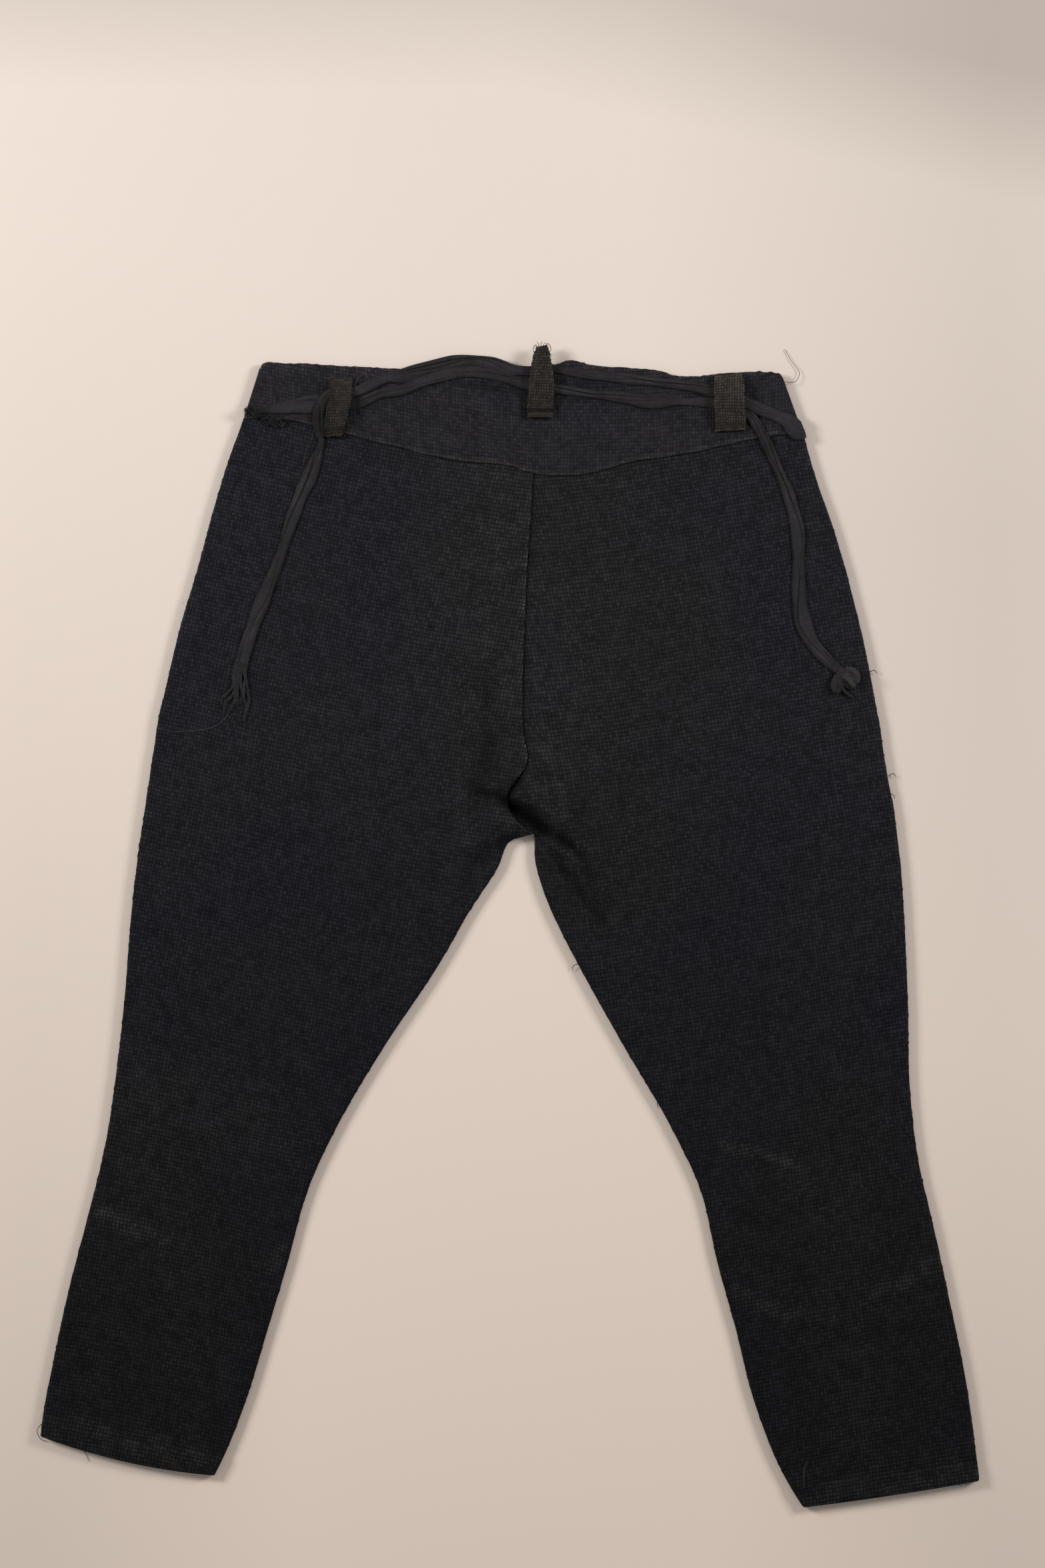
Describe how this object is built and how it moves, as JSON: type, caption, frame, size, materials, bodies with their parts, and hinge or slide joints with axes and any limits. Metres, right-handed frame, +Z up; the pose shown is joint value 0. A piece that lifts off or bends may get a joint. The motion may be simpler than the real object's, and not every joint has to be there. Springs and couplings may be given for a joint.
{
  "type": "knee breeches",
  "caption": "Knee breeches of coarse dark basket-weave cloth laid flat with the back up, with a curved back yoke, belt loops and two flat waist ties",
  "frame": {"origin": "on the surface that the garment lies on, under the middle of its outline", "axes": "+X to the right of the back view, +Y from the hems to the waist, +Z up, the way the back faces"},
  "size_m": [0.7051, 0.8717, 0.0164],
  "materials": {
    "breeches_cloth": "matte blue-black basket weave, worn paler on the ridges",
    "loop_cloth": "matte brown-black basket weave",
    "tie_tape": "smooth dark twill tape with a faint sheen"
  },
  "bodies": {
    "root": {"back_panel_left": "breeches_cloth", "back_panel_right": "breeches_cloth", "back_yoke": "breeches_cloth", "front_panel_left": "breeches_cloth", "front_panel_right": "breeches_cloth", "belt_loop_left": "loop_cloth", "belt_loop_centre": "loop_cloth", "belt_loop_right": "loop_cloth", "waist_tie_long": "tie_tape", "waist_tie_fray": "tie_tape", "waist_tie_short": "tie_tape", "waist_tie_tuft": "tie_tape", "waist_tie_knot": "tie_tape"}
  },
  "joints": []
}
